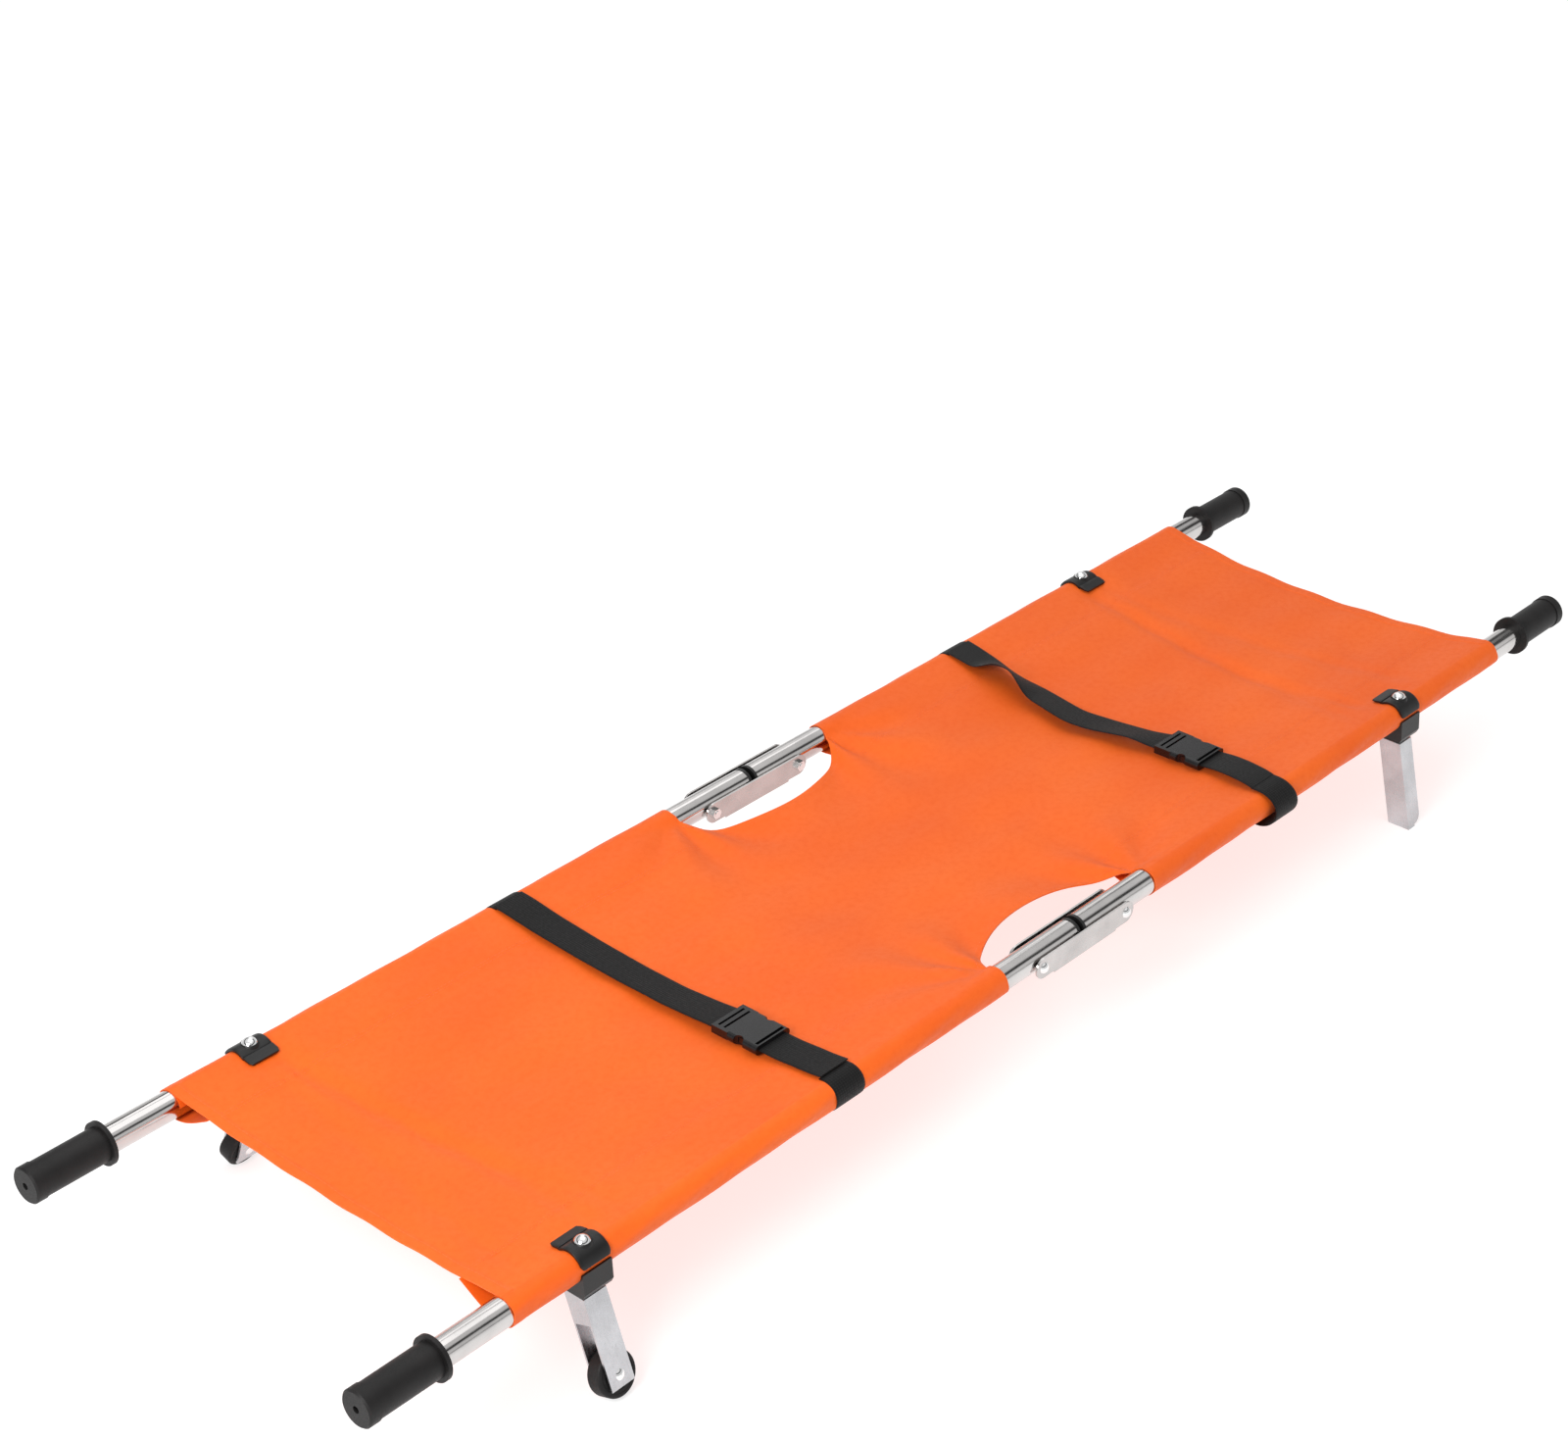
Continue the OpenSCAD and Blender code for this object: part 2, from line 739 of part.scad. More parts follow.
// ---------- drawing ----------
rail_tube(-1, 1);  // rail_tube_wheel_left
rail_tube(-1, -1);  // rail_tube_wheel_right
rail_tube(1, 1);  // rail_tube_foot_left
rail_tube(1, -1);  // rail_tube_foot_right
grip(-1, 1);  // grip_wheel_left
grip(-1, -1);  // grip_wheel_right
grip(1, 1);  // grip_foot_left
grip(1, -1);  // grip_foot_right
end_plug(-1, 1);  // end_plug_wheel_left
end_plug(-1, -1);  // end_plug_wheel_right
end_plug(1, 1);  // end_plug_foot_left
end_plug(1, -1);  // end_plug_foot_right
pocket(-1, 1);  // pocket_wheel_left
pocket(-1, -1);  // pocket_wheel_right
pocket(1, 1);  // pocket_foot_left
pocket(1, -1);  // pocket_foot_right
saddle(-1, 1);  // saddle_wheel_left
saddle(-1, -1);  // saddle_wheel_right
saddle(1, 1);  // saddle_foot_left
saddle(1, -1);  // saddle_foot_right
clamp_block(-1, 1);  // block_wheel_left
clamp_block(-1, -1);  // block_wheel_right
clamp_block(1, 1);  // block_foot_left
clamp_block(1, -1);  // block_foot_right
clamp_bolt(-1, 1);  // clamp_bolt_wheel_left
clamp_bolt(-1, -1);  // clamp_bolt_wheel_right
clamp_bolt(1, 1);  // clamp_bolt_foot_left
clamp_bolt(1, -1);  // clamp_bolt_foot_right
leg_fork(-1, 1, bolt_r + fit);  // leg_wheel_left
leg_fork(-1, -1, bolt_r + fit);  // leg_wheel_right
leg_foot(1, 1, bolt_r + fit);  // leg_foot_left
leg_foot(1, -1, bolt_r + face_gap);  // leg_foot_right
rod(-1, 1, bolt_r + fit, left_top, left_low, bolt_r, true);  // rod_wheel_left
rod(-1, -1, bolt_r + fit, right_top, right_low, bolt_r + fit, false);  // rod_wheel_right
rod(1, 1, bolt_r + fit, left_top, left_low, bolt_r, true);  // rod_foot_left
rod(1, -1, bolt_r + face_gap, right_top, right_low, bolt_r + fit, false);  // rod_foot_right
pivot(-1);  // pivot_wheel
pivot(1);  // pivot_foot
wheel(1);  // wheel_left
wheel(-1);  // wheel_right
axle(1);  // axle_left
axle(-1);  // axle_right
bracket(1);  // bracket_left
bracket(-1);  // bracket_right
hinge_bolts(1);  // hinge_bolts_left
hinge_bolts(-1);  // hinge_bolts_right
bed_wheel();
bed_middle();
bed_foot();
strap(-1);  // strap_wheel
strap(1);  // strap_foot
loop(-1, 1);  // loop_wheel_left
loop(-1, -1);  // loop_wheel_right
loop(1, 1);  // loop_foot_left
loop(1, -1);  // loop_foot_right
socket(-1);  // socket_wheel
socket(1);  // socket_foot
tongue(-1);  // tongue_wheel
tongue(1);  // tongue_foot
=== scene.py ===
"""Looks of the folding stretcher. Metres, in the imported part's own frame."""
import math
import bpy
import numpy as np
from mathutils import Matrix, Vector


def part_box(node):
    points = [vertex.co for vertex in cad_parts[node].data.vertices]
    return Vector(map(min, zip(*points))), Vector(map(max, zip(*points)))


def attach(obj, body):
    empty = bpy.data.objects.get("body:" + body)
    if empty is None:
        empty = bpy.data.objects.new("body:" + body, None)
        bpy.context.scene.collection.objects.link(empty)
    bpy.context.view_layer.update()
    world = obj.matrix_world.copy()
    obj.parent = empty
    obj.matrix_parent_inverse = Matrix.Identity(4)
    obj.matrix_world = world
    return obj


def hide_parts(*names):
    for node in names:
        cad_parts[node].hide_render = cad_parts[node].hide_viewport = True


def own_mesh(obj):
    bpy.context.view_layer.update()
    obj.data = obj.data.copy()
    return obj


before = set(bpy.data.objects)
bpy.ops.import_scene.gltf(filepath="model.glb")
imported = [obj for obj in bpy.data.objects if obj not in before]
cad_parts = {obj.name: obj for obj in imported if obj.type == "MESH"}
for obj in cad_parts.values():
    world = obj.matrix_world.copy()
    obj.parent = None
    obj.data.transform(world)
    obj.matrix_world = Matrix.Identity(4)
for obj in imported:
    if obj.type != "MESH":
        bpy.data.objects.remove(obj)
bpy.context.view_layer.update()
scene = bpy.context.scene


# ---------------------------------------------------------------- places from the frame
def middle(node):
    lo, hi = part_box(node)
    return (lo + hi) / 2


tube = {k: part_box("rail_tube_" + k) for k in ("wheel_left", "wheel_right", "foot_left", "foot_right")}
RAIL_Z = (tube["wheel_left"][0].z + tube["wheel_left"][1].z) / 2
HALF_PITCH = (tube["wheel_left"][0].y + tube["wheel_left"][1].y) / 2
TUBE_R = (tube["wheel_left"][1].z - tube["wheel_left"][0].z) / 2
HINGE_X = middle("bracket_left").x
PIN_HALF = (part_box("bed_middle")[1].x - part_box("bed_middle")[0].x) / 2
POCKET_IN = HINGE_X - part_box("pocket_wheel_left")[1].x
CLOTH_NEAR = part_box("pocket_wheel_left")[0].x
CLOTH_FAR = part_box("pocket_foot_left")[1].x
CLAMP = {"wheel": middle("block_wheel_left").x, "foot": middle("block_foot_left").x}
STRAP = {"wheel": middle("loop_wheel_left").x, "foot": middle("loop_foot_left").x}
SIDE = {"left": 1, "right": -1}
HALVES = ("wheel", "foot")


# ---------------------------------------------------------------- camera: the photograph's view
FOCAL_PX = 3369.9
FRAME_W = 1600
SENSOR_MM = 36
HEADING, DOWN, ROLL = math.radians(42.504), math.radians(29.679), math.radians(-0.6126)
FIT_PITCH = 0.505  # the rails' pitch that the camera was fitted with
FIT_SCALE = HALF_PITCH * 2 / FIT_PITCH
CAMERA_AT = Vector((-2.5298, -2.1319, 2.0640)) * FIT_SCALE + Vector((HINGE_X, 0, RAIL_Z))


def make_camera():
    data = bpy.data.cameras.new("camera")
    cam = bpy.data.objects.new("camera", data)
    scene.collection.objects.link(cam)
    data.sensor_width = SENSOR_MM
    data.lens = FOCAL_PX / FRAME_W * SENSOR_MM
    data.clip_start, data.clip_end = 0.05, 60
    look = Vector((math.cos(DOWN) * math.cos(HEADING),
                   math.cos(DOWN) * math.sin(HEADING),
                   -math.sin(DOWN)))
    right = look.cross(Vector((0, 0, 1))).normalized()
    up = right.cross(look)
    c, s = math.cos(ROLL), math.sin(ROLL)
    right, up = c * right + s * up, -s * right + c * up
    m = Matrix((right, up, -look)).transposed().to_4x4()
    m.translation = CAMERA_AT
    cam.matrix_world = m
    scene.camera = cam


make_camera()


# ---------------------------------------------------------------- materials
# sockets of a colour Mix node
MIX_FACTOR, MIX_A, MIX_B, MIX_OUT = 0, 6, 7, 2


def srgb(r, g, b):
    def lin(c):
        c /= 255
        return c / 12.92 if c <= 0.04045 else ((c + 0.055) / 1.055) ** 2.4
    return (lin(r), lin(g), lin(b), 1)


class Nodes:
    """A small helper that builds one node material."""

    def __init__(self, name):
        self.mat = bpy.data.materials.new(name)
        self.mat.use_nodes = True
        self.tree = self.mat.node_tree
        self.bsdf = self.tree.nodes["Principled BSDF"]

    def node(self, kind, **values):
        n = self.tree.nodes.new(kind)
        for k, v in values.items():
            if k.startswith("in_"):
                n.inputs[k[3:]].default_value = v
            else:
                setattr(n, k, v)
        return n

    def link(self, a, out, b, inp):
        self.tree.links.new(a.outputs[out], b.inputs[inp])

    def coords(self, kind, scale):
        tc = self.node("ShaderNodeTexCoord")
        mp = self.node("ShaderNodeMapping")
        mp.inputs["Scale"].default_value = scale
        self.link(tc, kind, mp, "Vector")
        return mp

    def noise(self, vec, scale, detail=3.0, rough=0.5):
        n = self.node("ShaderNodeTexNoise")
        n.inputs["Scale"].default_value = scale
        n.inputs["Detail"].default_value = detail
        n.inputs["Roughness"].default_value = rough
        self.link(vec, "Vector", n, "Vector")
        return n

    def bands(self, vec, direction, scale, distortion):
        w = self.node("ShaderNodeTexWave", wave_type="BANDS", bands_direction=direction,
                      in_Scale=scale, in_Distortion=distortion)
        self.link(vec, "Vector", w, "Vector")
        return w

    def ramp(self, src, out, stops):
        r = self.node("ShaderNodeValToRGB")
        el = r.color_ramp.elements
        while len(el) < len(stops):
            el.new(0.5)
        for e, (p, c) in zip(el, stops):
            e.position = p
            e.color = c if len(c) == 4 else (*c, 1)
        self.link(src, out, r, "Fac")
        return r

    def grey(self, src, out, lo, hi, a=0.3, b=0.7):
        m = self.node("ShaderNodeMapRange")
        m.inputs["From Min"].default_value = a
        m.inputs["From Max"].default_value = b
        m.inputs["To Min"].default_value = lo
        m.inputs["To Max"].default_value = hi
        self.link(src, out, m, "Value")
        return m

    def bump(self, src, out, strength, distance, chain=None):
        b = self.node("ShaderNodeBump")
        b.inputs["Strength"].default_value = strength
        b.inputs["Distance"].default_value = distance
        self.link(src, out, b, "Height")
        if chain is not None:
            self.link(chain, "Normal", b, "Normal")
        return b

    def multiply(self, a, b):
        m = self.node("ShaderNodeMath", operation="MULTIPLY")
        self.link(a, "Fac", m, 0)
        self.link(b, "Fac", m, 1)
        return m


def cloth_material():
    """Coated orange woven fabric: fine basket weave, faint mottling, soft sheen."""
    n = Nodes("orange_cloth")
    uv = n.coords("UV", (1, 1, 1))
    big = n.noise(uv, 5, 3)
    fine = n.noise(uv, 120, 3, 0.6)
    warp = n.bands(uv, "X", 240.0, 0.6)
    weft = n.bands(uv, "Y", 240.0, 0.6)
    weave = n.multiply(warp, weft)
    mix = n.node("ShaderNodeMix", data_type="RGBA")
    base = n.ramp(big, "Fac", [(0.3, srgb(236, 94, 12)), (0.7, srgb(244, 104, 18))])
    n.link(base, "Color", mix, MIX_A)
    mix.inputs[MIX_B].default_value = srgb(220, 72, 8)
    spot = n.grey(fine, "Fac", 0.0, 0.22, 0.45, 0.8)
    n.link(spot, "Result", mix, MIX_FACTOR)
    n.link(mix, MIX_OUT, n.bsdf, "Base Color")
    rough = n.grey(fine, "Fac", 0.5, 0.64)
    n.link(rough, "Result", n.bsdf, "Roughness")
    b1 = n.bump(weave, 0, 0.25, 0.0003)
    b2 = n.bump(fine, "Fac", 0.12, 0.0008, b1)
    n.link(b2, "Normal", n.bsdf, "Normal")
    n.bsdf.inputs["Sheen Weight"].default_value = 0.05
    n.bsdf.inputs["Sheen Roughness"].default_value = 0.5
    n.bsdf.inputs["Specular IOR Level"].default_value = 0.28
    return n.mat


def thread_material():
    """Orange sewing thread, a little paler than the cloth in places."""
    n = Nodes("orange_thread")
    uv = n.coords("Object", (1, 1, 1))
    fine = n.noise(uv, 900, 2)
    base = n.ramp(fine, "Fac", [(0.3, srgb(214, 72, 14)), (0.7, srgb(252, 122, 52))])
    n.link(base, "Color", n.bsdf, "Base Color")
    b = n.bump(fine, "Fac", 0.4, 0.0004)
    n.link(b, "Normal", n.bsdf, "Normal")
    n.bsdf.inputs["Roughness"].default_value = 0.6
    n.bsdf.inputs["Sheen Weight"].default_value = 0.2
    return n.mat


def webbing_material():
    """Black webbing: weft ribs across the width, paler on the ribs' raised tops and darker in the
    hollows between them.
    """
    n = Nodes("black_webbing")
    uv = n.coords("UV", (1, 1, 1))
    rib = n.bands(uv, "X", 110.0, 0.8)
    cell = n.bands(uv, "Y", 90.0, 0.5)
    both = n.multiply(rib, cell)
    fine = n.noise(uv, 300, 3)
    # the colour follows the rib height: paler on the raised tops, darker in the hollows between ribs
    base = n.ramp(both, 0, [(0.1, srgb(5, 5, 5)), (0.85, srgb(22, 19, 19))])
    mix = n.node("ShaderNodeMix", data_type="RGBA", blend_type="MULTIPLY")
    random_tone = n.ramp(fine, "Fac", [(0.3, (0.72, 0.72, 0.74)), (0.7, (1, 1, 1))])
    mix.inputs[MIX_FACTOR].default_value = 1
    n.link(base, "Color", mix, MIX_A)
    n.link(random_tone, "Color", mix, MIX_B)
    n.link(mix, MIX_OUT, n.bsdf, "Base Color")
    r = n.grey(fine, "Fac", 0.55, 0.75)
    n.link(r, "Result", n.bsdf, "Roughness")
    b1 = n.bump(both, 0, 0.5, 0.0004)
    b2 = n.bump(fine, "Fac", 0.15, 0.0004, b1)
    n.link(b2, "Normal", n.bsdf, "Normal")
    n.bsdf.inputs["Sheen Weight"].default_value = 0.04
    n.bsdf.inputs["Specular IOR Level"].default_value = 0.25
    return n.mat


def metal_material(name, tint, rough_lo, rough_hi, stretch, bump, spots, dark):
    """Metal with a drawn or rolled grain, faint cloudiness and small dark marks."""
    n = Nodes(name)
    co = n.coords("Object", stretch)
    grain = n.noise(co, 60, 4, 0.6)
    round_co = n.coords("Object", (1, 1, 1))
    cloud = n.noise(round_co, 22, 3)
    marks = n.noise(round_co, 420, 2, 0.7)
    tone = n.ramp(cloud, "Fac", [(0.3, tuple(c * dark for c in tint)), (0.65, tint)])
    mix = n.node("ShaderNodeMix", data_type="RGBA")
    n.link(tone, "Color", mix, MIX_A)
    mix.inputs[MIX_B].default_value = (*[c * 0.45 for c in tint], 1)
    spot = n.grey(marks, "Fac", 0.0, spots, 0.62, 0.75)
    n.link(spot, "Result", mix, MIX_FACTOR)
    n.link(mix, MIX_OUT, n.bsdf, "Base Color")
    n.bsdf.inputs["Metallic"].default_value = 1
    r = n.grey(grain, "Fac", rough_lo, rough_hi)
    n.link(r, "Result", n.bsdf, "Roughness")
    b = n.bump(grain, "Fac", bump, 0.0006)
    n.link(b, "Normal", n.bsdf, "Normal")
    return n.mat


def plastic_material(name, dark, light, rough_lo, rough_hi, grain, bump, spec):
    """Moulded black plastic or rubber with a fine texture and a slightly uneven tone."""
    n = Nodes(name)
    co = n.coords("Object", (1, 1, 1))
    fine = n.noise(co, grain, 3, 0.6)
    cloud = n.noise(co, 30, 3)
    base = n.ramp(cloud, "Fac", [(0.3, dark), (0.7, light)])
    n.link(base, "Color", n.bsdf, "Base Color")
    r = n.grey(fine, "Fac", rough_lo, rough_hi)
    n.link(r, "Result", n.bsdf, "Roughness")
    b = n.bump(fine, "Fac", bump, 0.0005)
    n.link(b, "Normal", n.bsdf, "Normal")
    n.bsdf.inputs["Specular IOR Level"].default_value = spec
    return n.mat


MAT = {
    "cloth": cloth_material(),
    "thread": thread_material(),
    "webbing": webbing_material(),
    "tube": metal_material("polished_tube", (0.66, 0.64, 0.63),
                           0.08, 0.17, (0.6, 14, 14), 0.03, 0.10, 0.84),
    "bracket": metal_material("bracket_sheet", (0.60, 0.58, 0.57),
                              0.16, 0.30, (1, 8, 8), 0.06, 0.25, 0.8),
    "leg": metal_material("leg_sheet", (0.60, 0.60, 0.62), 0.20, 0.36, (6, 6, 1), 0.08, 0.35, 0.76),
    "rod": metal_material("zinc_rod", (0.62, 0.63, 0.65), 0.22, 0.36, (8, 1, 8), 0.08, 0.3, 0.78),
    "bolt": metal_material("bolt_chrome", (0.88, 0.88, 0.88), 0.06, 0.16, (4, 4, 4), 0.03, 0.1, 0.9),
    "grip": plastic_material("grip_rubber", srgb(15, 14, 14), srgb(27, 25, 25),
                             0.42, 0.6, 700, 0.22, 0.3),
    "clamp": plastic_material("clamp_plastic", srgb(12, 12, 12), srgb(24, 23, 23),
                              0.3, 0.46, 900, 0.12, 0.38),
    "roller": plastic_material("roller_rubber", srgb(14, 13, 13), srgb(28, 26, 26),
                               0.5, 0.7, 500, 0.25, 0.3),
    "buckle": plastic_material("buckle_plastic", srgb(10, 10, 11), srgb(21, 20, 22),
                               0.2, 0.34, 900, 0.08, 0.42),
    "plug": plastic_material("plug_plastic", srgb(18, 18, 18), srgb(30, 30, 29),
                             0.35, 0.5, 900, 0.1, 0.5),
}


def paint(obj, key):
    obj.data.materials.clear()
    obj.data.materials.append(MAT[key])


def soften(obj, width, angle=40, harden=True):
    """Rounds sharp edges with a modifier; the mesh itself stays as it is."""
    m = obj.modifiers.new("edge", "BEVEL")
    m.width = width
    m.segments = 2
    m.limit_method = "ANGLE"
    m.angle_limit = math.radians(angle)
    m.harden_normals = harden


# start of a CAD node's name, its material, and the rounding of its edges
CAD_LOOK = [
    ("rail_tube", "tube", 0.0003), ("grip", "grip", 0.0011), ("end_plug", "plug", 0.0006),
    ("block", "clamp", 0.0011), ("clamp_bolt", "bolt", 0.0004), ("leg_", "leg", 0.0005),
    ("rod_", "rod", 0.0005), ("pivot_", "bolt", 0.0005), ("wheel_", "roller", 0.0005),
    ("axle_", "bolt", 0.0003), ("bracket", "bracket", 0.0006), ("hinge_bolts", "bolt", 0.0006),
    ("socket", "buckle", 0.0008), ("tongue", "buckle", 0.0006),
]
for name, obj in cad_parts.items():
    for start, key, width in CAD_LOOK:
        if name.startswith(start):
            paint(obj, key)
            soften(obj, width)


# ---------------------------------------------------------------- mesh building
def new_mesh(name, verts, faces, key, uvs=None, smooth_angle=35):
    me = bpy.data.meshes.new(name)
    me.from_pydata([tuple(map(float, v)) for v in verts], [], [tuple(f) for f in faces])
    me.update()
    if uvs is not None:
        layer = me.uv_layers.new(name="map")
        for loop in me.loops:
            layer.data[loop.index].uv = tuple(map(float, uvs[loop.vertex_index]))
    me.polygons.foreach_set("use_smooth", [True] * len(me.polygons))
    me.set_sharp_from_angle(angle=math.radians(smooth_angle))
    o = bpy.data.objects.new(name, me)
    scene.collection.objects.link(o)
    me.materials.append(MAT[key])
    return o


def grid_normals(P):
    du = np.gradient(P, axis=0)
    dv = np.gradient(P, axis=1)
    n = np.cross(du, dv)
    return n / np.maximum(np.linalg.norm(n, axis=2, keepdims=True), 1e-12)


def grid_uv(us, vs):
    return np.dstack(np.broadcast_arrays(us[:, None], vs[None, :]))


def slab(P, thick, uv=None, flip=False):
    """A closed thin sheet round the grid of points P[u, v], thick above and below it."""
    nu, nv = P.shape[:2]
    N = grid_normals(P)
    if flip:
        N = -N
    t = np.broadcast_to(np.asarray(thick, float), (nu, nv))[..., None] / 2
    top, bot = (P + N * t).reshape(-1, 3), (P - N * t).reshape(-1, 3)
    n = nu * nv
    verts = np.vstack([top, bot])
    idx = np.arange(n).reshape(nu, nv)
    faces = []
    for i in range(nu - 1):
        for j in range(nv - 1):
            a, b, c, d = idx[i, j], idx[i + 1, j], idx[i + 1, j + 1], idx[i, j + 1]
            if flip:
                faces += [(a, d, c, b), (a + n, b + n, c + n, d + n)]
            else:
                faces += [(a, b, c, d), (a + n, d + n, c + n, b + n)]
    rim = list(idx[:, 0]) + list(idx[-1, 1:]) + list(idx[-2::-1, -1]) + list(idx[0, -2:0:-1])
    for a, b in zip(rim, rim[1:] + rim[:1]):
        faces.append((a, a + n, b + n, b) if not flip else (a, b, b + n, a + n))
    uvs = None
    if uv is not None:
        uvs = np.vstack([uv.reshape(-1, 2)] * 2)
    return verts, faces, uvs


def smooth01(t):
    t = np.clip(t, 0, 1)
    return t * t * (3 - 2 * t)


# ---------------------------------------------------------------- the fabric bed
CLOTH_R = TUBE_R + 0.0013  # radius of the fabric round a tube
CLOTH_T = 0.0008
COVER_IN = math.radians(82)  # how far a pocket cover reaches round the tube's inner side
GAP_DEPTH = 0.074  # hand gap, from the rail's line inwards
SEAM_IN = 0.062  # pocket seam, from the rail's line inwards
END_SAG, GAP_SAG = 0.0185, 0.0265
SAG_START, SAG_RUN = 0.09, 0.15  # from the hinge: where the sag changes, and over what length
GAP_FLATTEN = 0.72  # how much squarer the sag's section is between the hand gaps
EDGE_FADE = 0.05  # the wrinkles die out over this width beside a rail
# creases by each clamp: distance from it, depth, width
CREASES = ((0.012, 0.0032, 0.009), (0.052, 0.0022, 0.012), (-0.036, 0.0018, 0.011))
STRAIN_DEEP, STRAIN_REACH = 0.0042, 0.15  # strain lines at the hand gaps' corners
PRESS_DEEP, PRESS_HALF = 0.0022, 0.030  # the dents by the saddles
HEM_DEPTH, GAP_HEM, HEM_EXTRA = 0.0155, 0.010, 0.0009  # hem widths, and their added thickness
END_PULL, END_PULL_RUN = 0.006, 0.12  # how far the free ends curve in, and over what length
END_LINES = (0.002, 0.004, 0.0145, 0.016)  # extra cross lines at the end hems
ACROSS = 58  # cells across the bed
LAYER_GAP = 0.0017  # between the bed and a pocket's lower layer, at the seam
TUCK_T, TUCK_LIFT = 0.0003, 0.00025  # the thin part of a pocket cover, inside the bed's edge
TUCK_LINES = 11


def half_width(x):
    """How far the bed reaches from the middle line at x."""
    u = (x - HINGE_X) / POCKET_IN
    depth = np.where(np.abs(u) < 1, GAP_DEPTH * np.sqrt(np.maximum(1 - u * u, 0)), 0)
    return HALF_PITCH - depth


def bed_height(x, y):
    """Height of the bed's top layer above the rail centre line."""
    x, y = np.broadcast_arrays(np.asarray(x, float), np.asarray(y, float))
    d = np.abs(x - HINGE_X)
    near_gap = 1 - smooth01((d - SAG_START) / SAG_RUN)
    sag = END_SAG + (GAP_SAG - END_SAG) * near_gap
    power = 1 - GAP_FLATTEN * near_gap
    v = np.clip(np.abs(y) / HALF_PITCH, 0, 1)
    z = CLOTH_R - sag * (1 - v * v) ** power
    # faint lengthways folds, broad swells and small ripples
    fade = smooth01((HALF_PITCH - np.abs(y)) / EDGE_FADE)
    z = z + fade * 0.0009 * np.sin(y * 2 * np.pi / 0.083 + 2.2 * np.sin(x * 3.1))
    z = z + fade * 0.0013 * np.sin(x * 11 + y * 7) * np.cos(y * 9 - 1.3)
    z = z + fade * 0.0007 * np.sin(x * 41 + 9 * y + 1.5 * np.sin(y * 17)) * np.sin(y * 13 + x * 3)
    # creases across the bed by the clamps
    for h, s in (("wheel", 1), ("foot", -1)):
        for shift, deep, wide in CREASES:
            at = CLAMP[h] + s * (shift + 0.03 * np.cos(y * 5 + shift * 40))
            z = z - fade * deep * np.exp(-(((x - at) / wide) ** 2))
    # strain lines that run from the hand gap corners
    for sx in (-1, 1):
        for sy in (-1, 1):
            gx, gy = x - (HINGE_X + sx * POCKET_IN), sy * y - (HALF_PITCH - 0.004)
            r = np.hypot(gx, gy)
            a = np.arctan2(-gy, sx * gx)
            reach = np.exp(-((r / STRAIN_REACH) ** 2)) * smooth01(r / 0.03)
            z = z + STRAIN_DEEP * reach * np.sin(a * 8) * fade
    # the saddles press the fabric on to the rail
    for h in HALVES:
        for sy in (-1, 1):
            gx = (x - CLAMP[h]) / PRESS_HALF
            gy = (HALF_PITCH - sy * y) / 0.05
            z = z - PRESS_DEEP * np.exp(-(gx ** 4)) * np.exp(-((gy - 0.55) ** 2) * 6) * (gy < 1.6)
    # never inside the tube
    off = np.abs(y) - HALF_PITCH
    ring = np.sqrt(np.maximum(CLOTH_R ** 2 - off ** 2, 0))
    return np.where(np.abs(off) < CLOTH_R, np.maximum(z, ring), z)


def bed_lines(x0, x1):
    """X of the cross lines of a bed piece, closer together at the hand gaps."""
    step = 0.009
    inner = [HINGE_X + POCKET_IN * math.cos(t) for t in np.linspace(0.0, math.pi, 45)]
    edges = list(np.arange(CLOTH_NEAR, HINGE_X - POCKET_IN - step / 2, step))
    edges += inner + [HINGE_X + POCKET_IN + 0.0006, HINGE_X - POCKET_IN - 0.0006]
    edges += list(np.arange(CLOTH_FAR, HINGE_X + POCKET_IN + step / 2, -step))
    edges += [CLOTH_NEAR + d for d in END_LINES]
    edges += [CLOTH_FAR - d for d in END_LINES]
    xs = sorted(e for e in edges if x0 + 1e-5 < e < x1 - 1e-5)
    return np.array([x0] + xs + [x1])


def across_lines():
    """Shares of the half width, closer together at the rails."""
    t = np.linspace(-1, 1, ACROSS + 1)
    return np.sign(t) * (1 - (1 - np.abs(t)) ** 1.35)


def bed_piece(name, x0, x1, body, node):
    xs, vs = bed_lines(x0, x1), across_lines()
    X = xs[:, None] * np.ones(len(vs))
    Y = half_width(xs)[:, None] * vs[None, :]
    end_in = np.minimum(X - CLOTH_NEAR, CLOTH_FAR - X)
    # the free ends curve in a little between the rails
    pull = END_PULL * np.exp(-(end_in / END_PULL_RUN)) * (1 - (Y / HALF_PITCH) ** 2)
    X2 = X + np.where(X < HINGE_X, pull, -pull)
    Z = RAIL_Z + bed_height(X2, Y) - CLOTH_T / 2
    P = np.dstack([X2, Y, Z])
    gap_in = half_width(xs)[:, None] - np.abs(Y)
    in_gap = (np.abs(X - HINGE_X) < POCKET_IN - 0.001)
    hem = (end_in < HEM_DEPTH) | (in_gap & (gap_in < GAP_HEM))
    thick = CLOTH_T + HEM_EXTRA * hem
    verts, faces, uvs = slab(P, thick, np.dstack([X, Y]))
    o = new_mesh(name, verts, faces, "cloth", uvs, 50)
    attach(o, body)
    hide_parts(node)
    return o


def pocket_span(half):
    """Where a half's pockets start and end along X."""
    if half == "wheel":
        return CLOTH_NEAR, HINGE_X - POCKET_IN
    return HINGE_X + POCKET_IN, CLOTH_FAR


